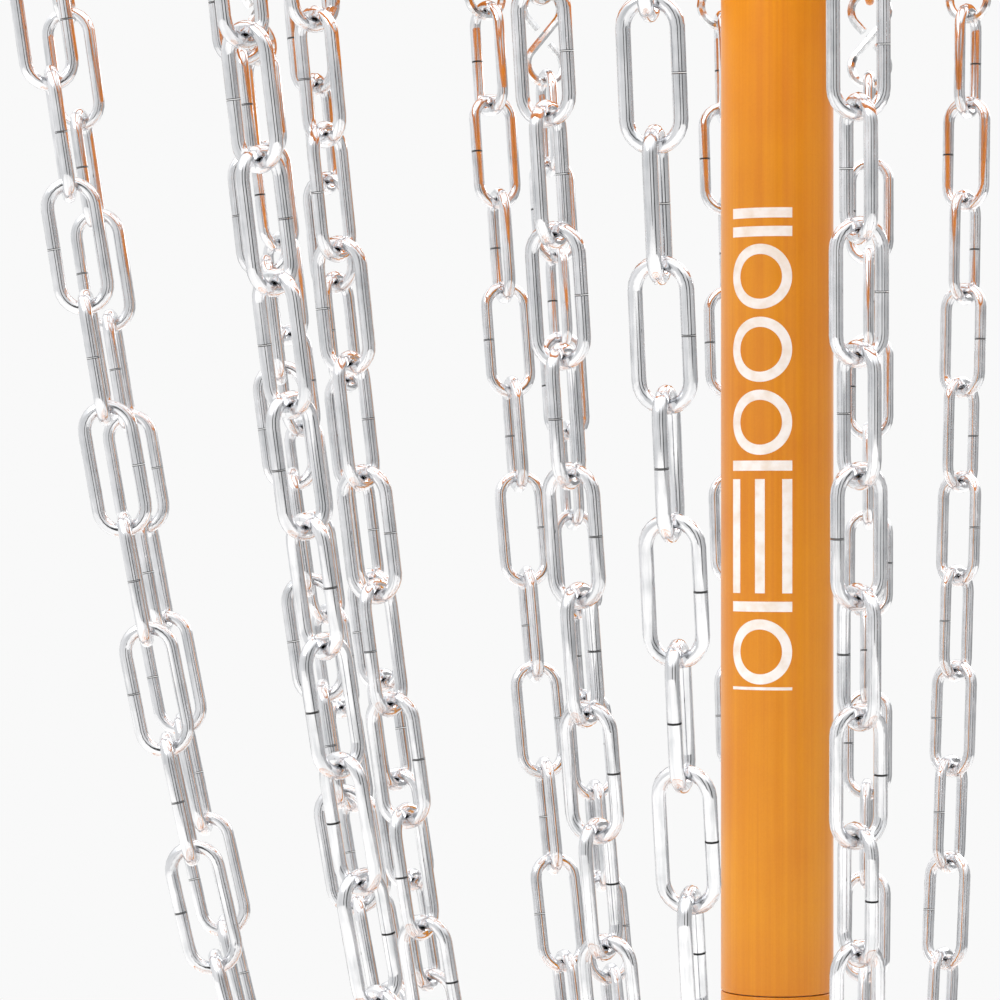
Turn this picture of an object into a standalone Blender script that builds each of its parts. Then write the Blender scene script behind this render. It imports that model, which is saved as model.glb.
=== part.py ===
"""Portable disc golf basket with twenty-four chains.

Metres, +Z up. The origin is on the floor under the middle of the pole.
Azimuths are in degrees round the pole from +X towards +Y.
"""
import math

import bmesh
import bpy
from mathutils import Matrix, Vector

for old in list(bpy.data.objects):
    bpy.data.objects.remove(old, do_unlink=True)

# Clearances
GAP = 0.0003  # between pieces that rest on each other
SLIDE_GAP = 0.0005  # round the pole, and between a rod's end and what it is welded to
BAND_GAP = 0.001  # between the spokes' legs and the band

# Pole: three screwed sections with a solid joiner inside each joint
POLE_RADIUS = 0.01905
POLE_WALL = 0.0016
POLE_JOINTS = (0.481, 0.9585)
POLE_TOP = 1.405
JOINER_LENGTH = 0.08

# Base: a tubular ring on four feet, four spokes and a socket for the pole
BASE_RING_RADIUS = 0.285
BASE_TUBE_RADIUS = 0.0125
FOOT_RADIUS = 0.016
FOOT_HEIGHT = 0.012
SPOKE_COUNT = 4
SPOKE_RADIUS = 0.011
BASE_HUB_WALL = 0.006
BASE_HUB_TOP = 0.115
BASE_HUB_FLOOR = 0.004
BASE_KNOB_HEIGHT = 0.088

# Tray that catches the disc: its parts' heights are counted from its floor
TRAY_FLOOR_HEIGHT = 0.603
TRAY_RIM_RADIUS = 0.325
TRAY_DEPTH = 0.192
TRAY_RIM_WIRE = 0.010
TRAY_FOOT_RADIUS = 0.315
TRAY_WIRE = 0.006
TRAY_HOOP_WIRE = 0.005
TRAY_ROD_COUNT = 24
TRAY_HOOP_RISE = 0.097
FLOOR_HOOP_RADII = (0.06, 0.14, 0.225)
COLLAR_WALL = 0.005
TRAY_COLLAR_DROP = 0.043
TRAY_COLLAR_RISE = 0.022
TRAY_KNOB_DROP = 0.026
STOP_COLLAR_LENGTH = 0.025

# Chain holder: its parts' heights are counted down from the pole's top
BAND_OUTER_RADIUS = 0.2705
BAND_WALL = 0.003
BAND_HEIGHT = 0.070
BAND_DROP = 0.003
HOOK_RING_WIRE = 0.008
HOOK_RING_GAP = 0.0037  # between the outer hook ring and the band
OUTER_HOOK_DROP = 0.0675
INNER_HOOK_RADIUS = 0.1889
INNER_HOOK_DROP = 0.0515
HOLDER_SPOKE_COUNT = 6
HOLDER_SPOKE_RADIUS = 0.005
HOLDER_SPOKE_BEND = 0.016
HOLDER_SPOKE_START = 10.1  # azimuth, midway between an outer and an inner hook
HOLDER_HUB_WALL = 0.006
HOLDER_HUB_LENGTH = 0.093
HOLDER_HUB_PLATE = 0.004
HOLDER_KNOB_DROP = 0.073

# Chains: twelve outer and twelve inner strands, each a hook eye, an S-hook and its links
STRAND_COUNT = 12
OUTER_START = 17.4  # azimuth of the first outer hook
INNER_START = 2.7
LINK_PITCH = 0.036
CHAIN_SLACK = 1.005  # least length of a strand, as a share of the straight line it hangs across
HOOK_REACH = 0.043  # from the hook ring's wire centre to the first link
CHAIN_RADIUS = 0.0045
COLLECTOR_RADIUS = 0.0514
COLLECTOR_WIRE = 0.008
COLLECTOR_RISE = 0.057  # above the tray floor
INNER_COLLECTOR_RADIUS = 0.0472
INNER_COLLECTOR_LIFT = 0.0295  # above the ring of the outer strands
COLLECTOR_DRIFT = 0.011  # towards +X, because the chains hang a little out of plumb

# Lock knobs, one on each hub
KNOB_RADIUS = 0.017
KNOB_LOBE = 0.002
KNOB_LOBES = 5
KNOB_STEM_RADIUS = 0.004
KNOB_STEM = 0.010
KNOB_THICKNESS = 0.014
KNOB_AZIMUTH = 317.0

# Heights and radii that follow from the sizes above
TRAY_RIM_HEIGHT = TRAY_FLOOR_HEIGHT + TRAY_DEPTH
TRAY_COLLAR_BOTTOM = TRAY_FLOOR_HEIGHT - TRAY_COLLAR_DROP
TRAY_KNOB_HEIGHT = TRAY_FLOOR_HEIGHT - TRAY_KNOB_DROP
COLLECTOR_HEIGHT = TRAY_FLOOR_HEIGHT + COLLECTOR_RISE
INNER_COLLECTOR_HEIGHT = COLLECTOR_HEIGHT + INNER_COLLECTOR_LIFT
OUTER_HOOK_RADIUS = BAND_OUTER_RADIUS - BAND_WALL - HOOK_RING_GAP - HOOK_RING_WIRE / 2
OUTER_HOOK_HEIGHT = POLE_TOP - OUTER_HOOK_DROP
INNER_HOOK_HEIGHT = POLE_TOP - INNER_HOOK_DROP
HOLDER_HUB_BOTTOM = POLE_TOP - HOLDER_HUB_LENGTH
HOLDER_KNOB_HEIGHT = POLE_TOP - HOLDER_KNOB_DROP


def material(name, colour, metallic, roughness):
    """A Principled BSDF with one colour."""
    made = bpy.data.materials.new(name)
    made.use_nodes = True
    shader = made.node_tree.nodes["Principled BSDF"]
    shader.inputs["Base Color"].default_value = (*colour, 1.0)
    shader.inputs["Metallic"].default_value = metallic
    shader.inputs["Roughness"].default_value = roughness
    return made


ORANGE_COAT = material("orange_coat", (0.69, 0.20, 0.015), 0.0, 0.35)
ZINC = material("zinc_plate", (0.72, 0.71, 0.72), 1.0, 0.22)
STEEL = material("turned_steel", (0.45, 0.45, 0.46), 1.0, 0.4)
RUBBER = material("black_rubber", (0.02, 0.02, 0.02), 0.0, 0.8)
KNOB_PLASTIC = material("knob_plastic", (0.03, 0.03, 0.03), 0.0, 0.5)


def finish(name, data, finish_material, origin=(0.0, 0.0, 0.0)):
    """Make the named object, with its origin where it turns or stands."""
    made = bpy.data.objects.new(name, data)
    made.location = origin
    data.materials.append(finish_material)
    bpy.context.scene.collection.objects.link(made)
    return made


def finish_bmesh(name, bm, finish_material, origin=(0.0, 0.0, 0.0)):
    """Turn a closed bmesh into an object with its faces out and shaded smooth."""
    bmesh.ops.recalc_face_normals(bm, faces=bm.faces)
    mesh = bpy.data.meshes.new(name)
    bm.to_mesh(mesh)
    bm.free()
    mesh.shade_smooth()
    mesh.set_sharp_from_angle(angle=math.radians(40))
    return finish(name, mesh, finish_material, origin)


def loft(name, rings, finish_material, closed=False, turn=None, origin=(0.0, 0.0, 0.0)):
    """Join rings of points into one body: a loop when closed, or with an end cap each."""
    bm = bmesh.new()
    loops = [[bm.verts.new(point) for point in ring] for ring in rings]
    pairs = list(zip(loops, loops[1:]))
    if closed:
        pairs.append((loops[-1], loops[0]))
    else:
        bm.faces.new(loops[0])
        bm.faces.new(loops[-1])
    for first, second in pairs:
        for i in range(len(first)):
            j = (i + 1) % len(first)
            bm.faces.new((first[i], first[j], second[j], second[i]))
    if turn is not None:
        bmesh.ops.transform(bm, matrix=turn, verts=bm.verts)
    return finish_bmesh(name, bm, finish_material, origin)


def circle(radius, height, steps):
    """Points round the Z axis."""
    angles = [math.tau * i / steps for i in range(steps)]
    return [(radius * math.cos(a), radius * math.sin(a), height) for a in angles]


def turned(name, profile, finish_material, steps=32, closed=True, centre_x=0.0):
    """Turn a profile of (radius, height) points round a vertical axis."""
    rings = [circle(radius, height, steps) for radius, height in profile]
    return loft(name, rings, finish_material, closed, Matrix.Translation((centre_x, 0.0, 0.0)))


def tube(name, inner, outer, bottom, top, finish_material, steps=32):
    """An open tube that stands on its end."""
    profile = [(outer, bottom), (outer, top), (inner, top), (inner, bottom)]
    return turned(name, profile, finish_material, steps)


def hoop(name, radius, height, wire, finish_material, steps=48, sides=6, centre_x=0.0):
    """A ring of round wire that lies flat."""
    profile = []
    for i in range(sides):
        angle = math.pi / 2 + math.tau * i / sides
        profile.append((radius + wire / 2 * math.cos(angle), height + wire / 2 * math.sin(angle)))
    return turned(name, profile, finish_material, steps, centre_x=centre_x)


def straight_rod(name, start, end, radius, finish_material, sides=6):
    """A round rod between two points."""
    start, end = Vector(start), Vector(end)
    along = end - start
    bm = bmesh.new()
    place = Matrix.Translation((start + end) / 2) @ along.to_track_quat("Z", "Y").to_matrix().to_4x4()
    bmesh.ops.create_cone(bm, cap_ends=True, segments=sides, radius1=radius, radius2=radius,
                          depth=along.length, matrix=place)
    return finish_bmesh(name, bm, finish_material)


def bent_rod(name, points, radius, finish_material, resolution=1, origin=(0.0, 0.0, 0.0)):
    """A round rod along a smooth row of points, given relative to its origin."""
    curve = bpy.data.curves.new(name, "CURVE")
    curve.dimensions = "3D"
    curve.bevel_depth = radius
    curve.bevel_resolution = resolution
    curve.use_fill_caps = True
    spline = curve.splines.new("POLY")
    spline.points.add(len(points) - 1)
    for place, point in zip(spline.points, points):
        place.co = (*point, 1.0)
    return finish(name, curve, finish_material, origin)


def weld(base, others):
    """Join crossing rods and hoops into the one welded piece that base becomes."""
    group = bpy.data.collections.new(base.name + "_members")
    bpy.context.scene.collection.children.link(group)
    for member in others:
        bpy.context.scene.collection.objects.unlink(member)
        group.objects.link(member)
        member.hide_render = True
        member.display_type = "WIRE"
    union = base.modifiers.new("weld", "BOOLEAN")
    union.operation = "UNION"
    union.operand_type = "COLLECTION"
    union.collection = group
    union.solver = "EXACT"
    return base


def polar(radius, azimuth, height):
    """A point round the pole, with the azimuth in degrees."""
    angle = math.radians(azimuth)
    return Vector((radius * math.cos(angle), radius * math.sin(angle), height))


# ---------------------------------------------------------------- Pole
def make_pole():
    """Three tube sections that stand on each other, with a joiner inside each joint."""
    socket_floor = FOOT_HEIGHT + BASE_HUB_FLOOR + GAP
    ends = [socket_floor, *POLE_JOINTS, POLE_TOP]
    for name, bottom, top in zip(("pole_lower", "pole_middle", "pole_upper"), ends, ends[1:]):
        tube(name, POLE_RADIUS - POLE_WALL, POLE_RADIUS, bottom, top - GAP, ORANGE_COAT)
    joiner_radius = POLE_RADIUS - POLE_WALL - SLIDE_GAP
    for name, joint in zip(("pole_joiner_lower", "pole_joiner_upper"), POLE_JOINTS):
        rings = [circle(joiner_radius, joint + side * JOINER_LENGTH / 2, 24) for side in (-1, 1)]
        loft(name, rings, STEEL)


# ---------------------------------------------------------------- Base
def make_base():
    """Feet, ring, spokes and the socket that the pole stands in."""
    tube_height = FOOT_HEIGHT + BASE_TUBE_RADIUS
    hoop("base_ring", BASE_RING_RADIUS, tube_height, 2 * BASE_TUBE_RADIUS, ORANGE_COAT, 48, 10)
    hub_inner = POLE_RADIUS + SLIDE_GAP
    hub_outer = hub_inner + BASE_HUB_WALL
    floor_top = FOOT_HEIGHT + BASE_HUB_FLOOR
    cup = [(0.004, floor_top), (0.004, FOOT_HEIGHT), (hub_outer, FOOT_HEIGHT),
           (hub_outer, BASE_HUB_TOP), (hub_inner, BASE_HUB_TOP), (hub_inner, floor_top)]
    turned("base_hub", cup, ORANGE_COAT)
    inner_end = hub_outer + SLIDE_GAP
    outer_end = BASE_RING_RADIUS - BASE_TUBE_RADIUS - SLIDE_GAP
    for i in range(SPOKE_COUNT):
        azimuth = 45.0 + 360.0 / SPOKE_COUNT * i
        straight_rod(f"base_spoke_{i + 1}", polar(inner_end, azimuth, tube_height),
                     polar(outer_end, azimuth, tube_height), SPOKE_RADIUS, ORANGE_COAT, 12)
        top = FOOT_HEIGHT - GAP
        rings = [circle(FOOT_RADIUS, 0.0, 16), circle(FOOT_RADIUS, top * 0.6, 16),
                 circle(FOOT_RADIUS * 0.8, top, 16)]
        foot = loft(f"base_foot_{i + 1}", rings, RUBBER)
        foot.location = polar(BASE_RING_RADIUS, azimuth, 0.0)


# ---------------------------------------------------------------- Tray
def make_tray():
    """The wire tray, its rim, the collar that carries it and the collar that it rests on."""
    hoop("tray_rim", TRAY_RIM_RADIUS, TRAY_RIM_HEIGHT, TRAY_RIM_WIRE, ORANGE_COAT, 48, 8)
    wall = hoop("tray_wall", TRAY_FOOT_RADIUS, TRAY_FLOOR_HEIGHT, TRAY_WIRE, ORANGE_COAT)
    rod_top = TRAY_RIM_HEIGHT - TRAY_RIM_WIRE / 2 - SLIDE_GAP
    lean = (TRAY_RIM_RADIUS - TRAY_FOOT_RADIUS) / (rod_top - TRAY_FLOOR_HEIGHT)
    hoop_radius = TRAY_FOOT_RADIUS + lean * TRAY_HOOP_RISE
    hoop_height = TRAY_FLOOR_HEIGHT + TRAY_HOOP_RISE
    members = [hoop("wall_hoop", hoop_radius, hoop_height, TRAY_HOOP_WIRE, ORANGE_COAT)]
    for i in range(TRAY_ROD_COUNT):
        azimuth = 360.0 / TRAY_ROD_COUNT * i
        members.append(straight_rod("wall_rod", polar(TRAY_FOOT_RADIUS, azimuth, TRAY_FLOOR_HEIGHT),
                                    polar(TRAY_RIM_RADIUS, azimuth, rod_top), TRAY_WIRE / 2, ORANGE_COAT))
    weld(wall, members)

    collar_inner = POLE_RADIUS + SLIDE_GAP
    collar_outer = collar_inner + COLLAR_WALL
    tube("tray_collar", collar_inner, collar_outer, TRAY_COLLAR_BOTTOM,
         TRAY_FLOOR_HEIGHT + TRAY_COLLAR_RISE, ORANGE_COAT)
    stop_top = TRAY_COLLAR_BOTTOM - GAP
    tube("tray_stop_collar", POLE_RADIUS + GAP, collar_outer, stop_top - STOP_COLLAR_LENGTH, stop_top, ZINC)

    first, *rest = FLOOR_HOOP_RADII
    grid = hoop("tray_floor", first, TRAY_FLOOR_HEIGHT, TRAY_HOOP_WIRE, ORANGE_COAT, 24)
    members = [hoop("floor_hoop", radius, TRAY_FLOOR_HEIGHT, TRAY_HOOP_WIRE, ORANGE_COAT) for radius in rest]
    rod_end = TRAY_FOOT_RADIUS - TRAY_WIRE / 2 - SLIDE_GAP
    for i in range(TRAY_ROD_COUNT):
        azimuth = 360.0 / TRAY_ROD_COUNT * i
        start = collar_outer + SLIDE_GAP if i % 2 == 0 else rest[0]
        members.append(straight_rod("floor_rod", polar(start, azimuth, TRAY_FLOOR_HEIGHT),
                                    polar(rod_end, azimuth, TRAY_FLOOR_HEIGHT), TRAY_WIRE / 2, ORANGE_COAT))
    weld(grid, members)


# ---------------------------------------------------------------- Chain holder
def make_holder():
    """The cap that sits on the pole, its spokes, the two hook rings and the band."""
    band_inner = BAND_OUTER_RADIUS - BAND_WALL
    band_top = POLE_TOP - BAND_DROP
    tube("band", band_inner, BAND_OUTER_RADIUS, band_top - BAND_HEIGHT, band_top, ORANGE_COAT, 72)
    hoop("outer_hook_ring", OUTER_HOOK_RADIUS, OUTER_HOOK_HEIGHT, HOOK_RING_WIRE, ORANGE_COAT)
    hoop("inner_hook_ring", INNER_HOOK_RADIUS, INNER_HOOK_HEIGHT, HOOK_RING_WIRE, ORANGE_COAT)

    hub_inner = POLE_RADIUS + SLIDE_GAP
    hub_outer = hub_inner + HOLDER_HUB_WALL
    hub_top = POLE_TOP + HOLDER_HUB_PLATE
    hole = 0.004
    cup = [(hole, POLE_TOP), (hub_inner, POLE_TOP), (hub_inner, HOLDER_HUB_BOTTOM),
           (hub_outer, HOLDER_HUB_BOTTOM), (hub_outer, hub_top), (hole, hub_top)]
    turned("holder_hub", cup, ORANGE_COAT)

    spoke_height = INNER_HOOK_HEIGHT + HOOK_RING_WIRE / 2 + GAP + HOLDER_SPOKE_RADIUS
    leg_radius = band_inner - BAND_GAP - HOLDER_SPOKE_RADIUS
    leg_end = OUTER_HOOK_HEIGHT + HOOK_RING_WIRE / 2 + GAP
    route = [(hub_outer + SLIDE_GAP, spoke_height)]
    for i in range(5):
        angle = math.pi / 2 * i / 4
        route.append((leg_radius - HOLDER_SPOKE_BEND * (1 - math.sin(angle)),
                      spoke_height - HOLDER_SPOKE_BEND * (1 - math.cos(angle))))
    route.append((leg_radius, leg_end))
    for i in range(HOLDER_SPOKE_COUNT):
        azimuth = HOLDER_SPOKE_START + 360.0 / HOLDER_SPOKE_COUNT * i
        points = [polar(radius, azimuth, height) for radius, height in route]
        bent_rod(f"holder_spoke_{i + 1}", points, HOLDER_SPOKE_RADIUS, ORANGE_COAT, 2)


# ---------------------------------------------------------------- Chains
def hanging_curve(span, drop, length, stops):
    """Points (out, down) of a chain that hangs over span and drop, at lengths along it."""
    slack = math.sqrt(length * length - drop * drop)
    low, high = span / 200, span * 200
    for _ in range(200):
        size = (low + high) / 2
        if 2 * size * math.sinh(span / (2 * size)) > slack:
            low = size
        else:
            high = size
    middle = 2 * size * math.atanh(drop / length)
    start = (middle + span) / 2
    start_length = size * math.sinh(start / size)
    points = []
    for stop in stops:
        across = size * math.asinh((start_length - stop) / size)
        points.append((start - across, size * (math.cosh(start / size) - math.cosh(across / size))))
    return points


def chain_strand(name, azimuth, ring_radius, ring_height, end_radius, end_height):
    """One strand as a plain tube from under its hook ring to beside its collector ring."""
    top = polar(ring_radius, azimuth, ring_height)
    span = ring_radius - end_radius
    drop = ring_height - end_height
    unlinked = HOOK_REACH - COLLECTOR_WIRE / 2
    links = math.ceil((math.hypot(span, drop) * CHAIN_SLACK - unlinked) / LINK_PITCH)
    length = unlinked + links * LINK_PITCH
    first = HOOK_RING_WIRE / 2 + SLIDE_GAP
    last = length - COLLECTOR_WIRE / 2 - SLIDE_GAP
    steps = 10
    stops = [first + (last - first) * i / steps for i in range(steps + 1)]
    stops.insert(-1, last - 2 * CHAIN_RADIUS)  # so that the end faces the collector ring squarely
    points = []
    for inward, down in hanging_curve(span, drop, length, stops):
        point = polar(ring_radius - inward, azimuth, ring_height - down)
        point.x += COLLECTOR_DRIFT * down / drop
        points.append(point - top)
    bent_rod(name, points, CHAIN_RADIUS, ZINC, 1, top)


def make_chains():
    """The two rings of strands and, for each, the ring that gathers their lower ends."""
    for i in range(STRAND_COUNT):
        step = 360.0 / STRAND_COUNT * i
        chain_strand(f"outer_chain_{i + 1:02d}", OUTER_START + step, OUTER_HOOK_RADIUS, OUTER_HOOK_HEIGHT,
                     COLLECTOR_RADIUS, COLLECTOR_HEIGHT)
        chain_strand(f"inner_chain_{i + 1:02d}", INNER_START + step, INNER_HOOK_RADIUS, INNER_HOOK_HEIGHT,
                     INNER_COLLECTOR_RADIUS, INNER_COLLECTOR_HEIGHT)
    hoop("outer_collector_ring", COLLECTOR_RADIUS, COLLECTOR_HEIGHT, COLLECTOR_WIRE, ZINC, 32, 6,
         COLLECTOR_DRIFT)
    hoop("inner_collector_ring", INNER_COLLECTOR_RADIUS, INNER_COLLECTOR_HEIGHT, COLLECTOR_WIRE, ZINC, 32, 6,
         COLLECTOR_DRIFT)


# ---------------------------------------------------------------- Lock knobs
def lock_knob(name, hub_outer, height):
    """A lobed hand knob on a screw that points at the pole."""
    steps = 30

    def outline(radius, lobe, along):
        points = []
        for i in range(steps):
            angle = math.tau * i / steps
            reach = radius + lobe * math.cos(KNOB_LOBES * angle)
            points.append((reach * math.cos(angle), reach * math.sin(angle), along))
        return points

    head = KNOB_STEM + KNOB_THICKNESS
    rings = [outline(KNOB_STEM_RADIUS, 0.0, 0.0), outline(KNOB_STEM_RADIUS, 0.0, KNOB_STEM),
             outline(KNOB_RADIUS, KNOB_LOBE, KNOB_STEM), outline(KNOB_RADIUS, KNOB_LOBE, head - 0.002),
             outline(KNOB_RADIUS - 0.003, KNOB_LOBE, head)]
    knob = loft(name, rings, KNOB_PLASTIC)
    out = polar(1.0, KNOB_AZIMUTH, 0.0)
    knob.rotation_euler = out.to_track_quat("Z", "Y").to_euler()
    knob.location = polar(hub_outer + SLIDE_GAP, KNOB_AZIMUTH, height)


def make_knobs():
    """One knob locks the pole in the base, one the tray and one the chain holder."""
    bore = POLE_RADIUS + SLIDE_GAP
    lock_knob("base_lock_knob", bore + BASE_HUB_WALL, BASE_KNOB_HEIGHT)
    lock_knob("tray_lock_knob", bore + COLLAR_WALL, TRAY_KNOB_HEIGHT)
    lock_knob("holder_lock_knob", bore + HOLDER_HUB_WALL, HOLDER_KNOB_HEIGHT)


make_pole()
make_base()
make_tray()
make_holder()
make_chains()
make_knobs()
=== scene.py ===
import math

import bmesh
import bpy
from mathutils import Matrix, Vector


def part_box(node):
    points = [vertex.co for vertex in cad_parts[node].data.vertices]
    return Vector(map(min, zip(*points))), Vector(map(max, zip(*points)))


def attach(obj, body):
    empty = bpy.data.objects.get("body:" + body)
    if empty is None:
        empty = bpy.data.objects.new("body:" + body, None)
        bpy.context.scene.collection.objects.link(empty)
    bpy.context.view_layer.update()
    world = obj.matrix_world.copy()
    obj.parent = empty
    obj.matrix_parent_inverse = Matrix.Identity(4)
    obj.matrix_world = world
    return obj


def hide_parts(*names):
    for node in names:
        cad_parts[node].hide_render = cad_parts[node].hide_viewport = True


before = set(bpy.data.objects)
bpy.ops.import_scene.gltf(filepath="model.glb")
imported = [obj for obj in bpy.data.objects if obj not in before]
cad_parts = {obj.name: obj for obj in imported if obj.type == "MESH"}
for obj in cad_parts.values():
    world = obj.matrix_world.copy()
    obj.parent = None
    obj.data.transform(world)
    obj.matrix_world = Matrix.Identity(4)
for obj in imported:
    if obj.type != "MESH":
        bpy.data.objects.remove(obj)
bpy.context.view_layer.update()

# ---------------------------------------------------------------- Camera
# It stands a little left of the pole at chain height and looks level, with a long lens,
# so that only the chains and the upper pole fill the view.
camera = bpy.data.objects.new("camera", bpy.data.cameras.new("camera"))
camera.data.lens = 133.2
camera.data.sensor_width = 36.0
camera.data.clip_end = 60.0
camera.location = (-0.094, -1.255, 1.1245)
camera.rotation_euler = (math.pi / 2, 0.0, 0.0)
bpy.context.scene.collection.objects.link(camera)
bpy.context.scene.camera = camera


# ---------------------------------------------------------------- Pole
# Three lengths of 38 mm steel tube stacked on solid joiners. The tube is drawn, cut square with a
# small chamfer, and coated in a satin orange lacquer that lets faint draw lines show through.
def linear(code):
    """An sRGB hex colour as linear RGBA."""
    parts = [int(code[i:i + 2], 16) / 255 for i in (1, 3, 5)]
    return (*[p / 12.92 if p <= 0.04045 else ((p + 0.055) / 1.055) ** 2.4 for p in parts], 1.0)


def add_node(tree, kind, inputs=None, **settings):
    """Add a node with its settings; each input is given a value or the socket that feeds it."""
    node = tree.nodes.new(kind)
    for name, value in settings.items():
        setattr(node, name, value)
    for key, value in (inputs or {}).items():
        if isinstance(value, bpy.types.NodeSocket):
            tree.links.new(value, node.inputs[key])
        else:
            node.inputs[key].default_value = value
    return node


def math_value(tree, operation, *values):
    """The result of a Math node on the given values or sockets."""
    return add_node(tree, "ShaderNodeMath", dict(enumerate(values)), operation=operation).outputs[0]


def noise(tree, place, size, detail, roughness=0.5):
    """Noise whose spots are about the given size."""
    return add_node(tree, "ShaderNodeTexNoise", {"Vector": place, "Scale": 1 / size, "Detail": detail,
                                                 "Roughness": roughness}).outputs[0]


def remap(tree, value, low, high, start=0.0, end=1.0, **settings):
    """A value taken from the range low to high onto the range start to end."""
    return add_node(tree, "ShaderNodeMapRange", {"Value": value, "From Min": low, "From Max": high,
                                                 "To Min": start, "To Max": end}, **settings).outputs[0]


def blend(tree, factor, first, second):
    """A colour between two colours."""
    return add_node(tree, "ShaderNodeMix", {"Factor": factor, 6: first, 7: second},
                    data_type="RGBA").outputs[2]


def relief(tree, height, strength, distance):
    """A normal that follows a height."""
    return add_node(tree, "ShaderNodeBump", {"Height": height, "Strength": strength,
                                             "Distance": distance}).outputs[0]


def object_place(tree):
    """Coordinates in metres on the piece."""
    return add_node(tree, "ShaderNodeTexCoord").outputs["Object"]


def feed(tree, shader, **sockets):
    """Link sockets to the shader's inputs of the same names."""
    for name, socket in sockets.items():
        tree.links.new(socket, shader.inputs[name.replace("_", " ")])


def new_finish(name, **values):
    """A material with a Principled shader, and the values that are the same all over it."""
    made = bpy.data.materials.new(name)
    made.use_nodes = True
    shader = made.node_tree.nodes["Principled BSDF"]
    for key, value in values.items():
        shader.inputs[key.replace("_", " ")].default_value = value
    return made, made.node_tree, shader


def rounded(outline, radius, steps=4):
    """A closed outline of (radius, height) corners with each corner rounded."""
    points = []
    for i, corner in enumerate(outline):
        here = Vector(corner)
        before = (Vector(outline[i - 1]) - here)
        after = (Vector(outline[(i + 1) % len(outline)]) - here)
        reach = min(radius, before.length / 2.01, after.length / 2.01)
        start, end = here + before.normalized() * reach, here + after.normalized() * reach
        for k in range(steps + 1):
            t = k / steps
            points.append(tuple(start * (1 - t) ** 2 + here * 2 * t * (1 - t) + end * t * t))
    return points


def skinned(rows, wrapped):
    """A closed mesh through rows of points. The last row meets the first if wrapped, else both are capped."""
    bm = bmesh.new()
    rings = [[bm.verts.new(point) for point in row] for row in rows]
    for ring, following in zip(rings, rings[1:] + (rings[:1] if wrapped else [])):
        for k in range(len(ring)):
            j = (k + 1) % len(ring)
            bm.faces.new((ring[k], following[k], following[j], ring[j]))
    if not wrapped:
        bm.faces.new(rings[0])
        bm.faces.new(rings[-1])
    return closed_mesh(bm)


def turned(outline, steps=96):
    """A closed outline of (radius, height) points turned round the vertical axis, as a mesh."""
    rows = []
    for i in range(steps):
        angle = math.tau * i / steps
        rows.append([(r * math.cos(angle), r * math.sin(angle), z) for r, z in outline])
    return skinned(rows, True)


def to_mesh(bm):
    """The bmesh as a mesh."""
    mesh = bpy.data.meshes.new("mesh")
    bm.to_mesh(mesh)
    bm.free()
    return mesh


def closed_mesh(bm, weld=1e-6):
    """The bmesh as a mesh, with doubles merged and its faces pointing outwards."""
    bmesh.ops.remove_doubles(bm, verts=bm.verts, dist=weld)
    bmesh.ops.dissolve_degenerate(bm, edges=bm.edges, dist=weld)
    bmesh.ops.recalc_face_normals(bm, faces=bm.faces)
    return to_mesh(bm)


def joined(*meshes):
    """Several meshes as one."""
    bm = bmesh.new()
    for mesh in meshes:
        bm.from_mesh(mesh)
    return to_mesh(bm)


def place_piece(name, mesh, finish, body, nodes=(), sharp=35.0):
    """Put a finished mesh in the scene on its CAD body, in place of the CAD nodes it stands for."""
    mesh.name = name
    mesh.materials.clear()
    mesh.materials.append(finish)
    mesh.shade_smooth()
    mesh.set_sharp_from_angle(angle=math.radians(sharp))
    piece = bpy.data.objects.new(name, mesh)
    bpy.context.scene.collection.objects.link(piece)
    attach(piece, body)
    if nodes:
        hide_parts(*nodes)
    return piece


def make_orange(name, colour, deep, streaks, grain, roughness):
    """Orange coat: large clouds, lines along Z where streaks is set, and a fine coat texture."""
    made, tree, shader = new_finish(name, Metallic=0.0, IOR=1.45, Coat_Weight=0.12, Coat_Roughness=0.12)
    place = object_place(tree)
    clouds = noise(tree, place, 0.055, 3.0)
    long_way = add_node(tree, "ShaderNodeMapping",
                        {"Vector": place, "Scale": (1 / 0.0017, 1 / 0.0017, 1 / 0.16)})
    lines = noise(tree, long_way.outputs[0], 1.0, 4.0, 0.65)
    specks = noise(tree, place, 0.0007, 2.0)
    shade = math_value(tree, "MULTIPLY", clouds, 1.0 - streaks)
    shade = math_value(tree, "MULTIPLY_ADD", lines, streaks, shade)
    shade = math_value(tree, "MULTIPLY_ADD", specks, 0.12, shade)
    feed(tree, shader, Base_Color=blend(tree, remap(tree, shade, 0.40, 0.74), linear(deep), linear(colour)),
         Roughness=remap(tree, shade, 0.35, 0.75, roughness + 0.08, roughness - 0.05),
         Normal=relief(tree, noise(tree, place, grain, 1.5), 0.12, 0.0003))
    return made


# Satin lacquer on drawn tube: draw lines 1 to 2 mm apart run along the tube, under a soft gloss.
pole_coat = make_orange("satin_lacquer_on_drawn_tube", "#E0930A", "#CE7804", 0.45, 0.0011, 0.36)
POLE_RADIUS = 0.01905
POLE_WALL = 0.0016
for node in ("pole_lower", "pole_middle", "pole_upper"):
    low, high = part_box(node)
    ends = [(POLE_RADIUS, low.z), (POLE_RADIUS, high.z),
            (POLE_RADIUS - POLE_WALL, high.z), (POLE_RADIUS - POLE_WALL, low.z)]
    place_piece(node + "_tube", turned(rounded(ends, 0.0005, 3), 128), pole_coat, "stand",
                [node])

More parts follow.
